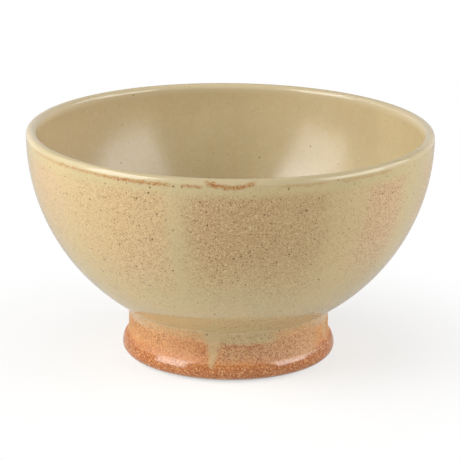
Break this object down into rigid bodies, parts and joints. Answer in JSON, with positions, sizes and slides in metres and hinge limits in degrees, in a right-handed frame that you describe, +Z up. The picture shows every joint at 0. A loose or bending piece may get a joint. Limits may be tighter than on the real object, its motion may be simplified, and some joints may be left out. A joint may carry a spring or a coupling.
{
  "type": "footed bowl",
  "caption": "Hemispherical stoneware bowl on a waisted foot ring, glazed sand inside and speckled sand and rust outside, for soup, cereal or fruit.",
  "frame": {"origin": "centre of the circle that the foot stands on, at the table", "axes": "+Z up along the bowl's axis; the bowl is round, so X and Y are free"},
  "size_m": [0.14, 0.14, 0.08],
  "materials": {
    "clay": "bare fired stoneware, matt",
    "slip": "fired slip, matt",
    "liner_glaze": "glossy sand glaze",
    "wall_glaze": "satin sand glaze, stippled where thin",
    "foot_glaze": "satin glaze broken to rust",
    "recess_glaze": "satin sand glaze"
  },
  "bodies": {
    "root": {"bowl_shell": "clay", "foot_ring": "clay", "luting_slip": "slip", "liner_glaze": "liner_glaze", "wall_glaze": "wall_glaze", "foot_glaze": "foot_glaze", "recess_glaze": "recess_glaze"}
  },
  "joints": []
}
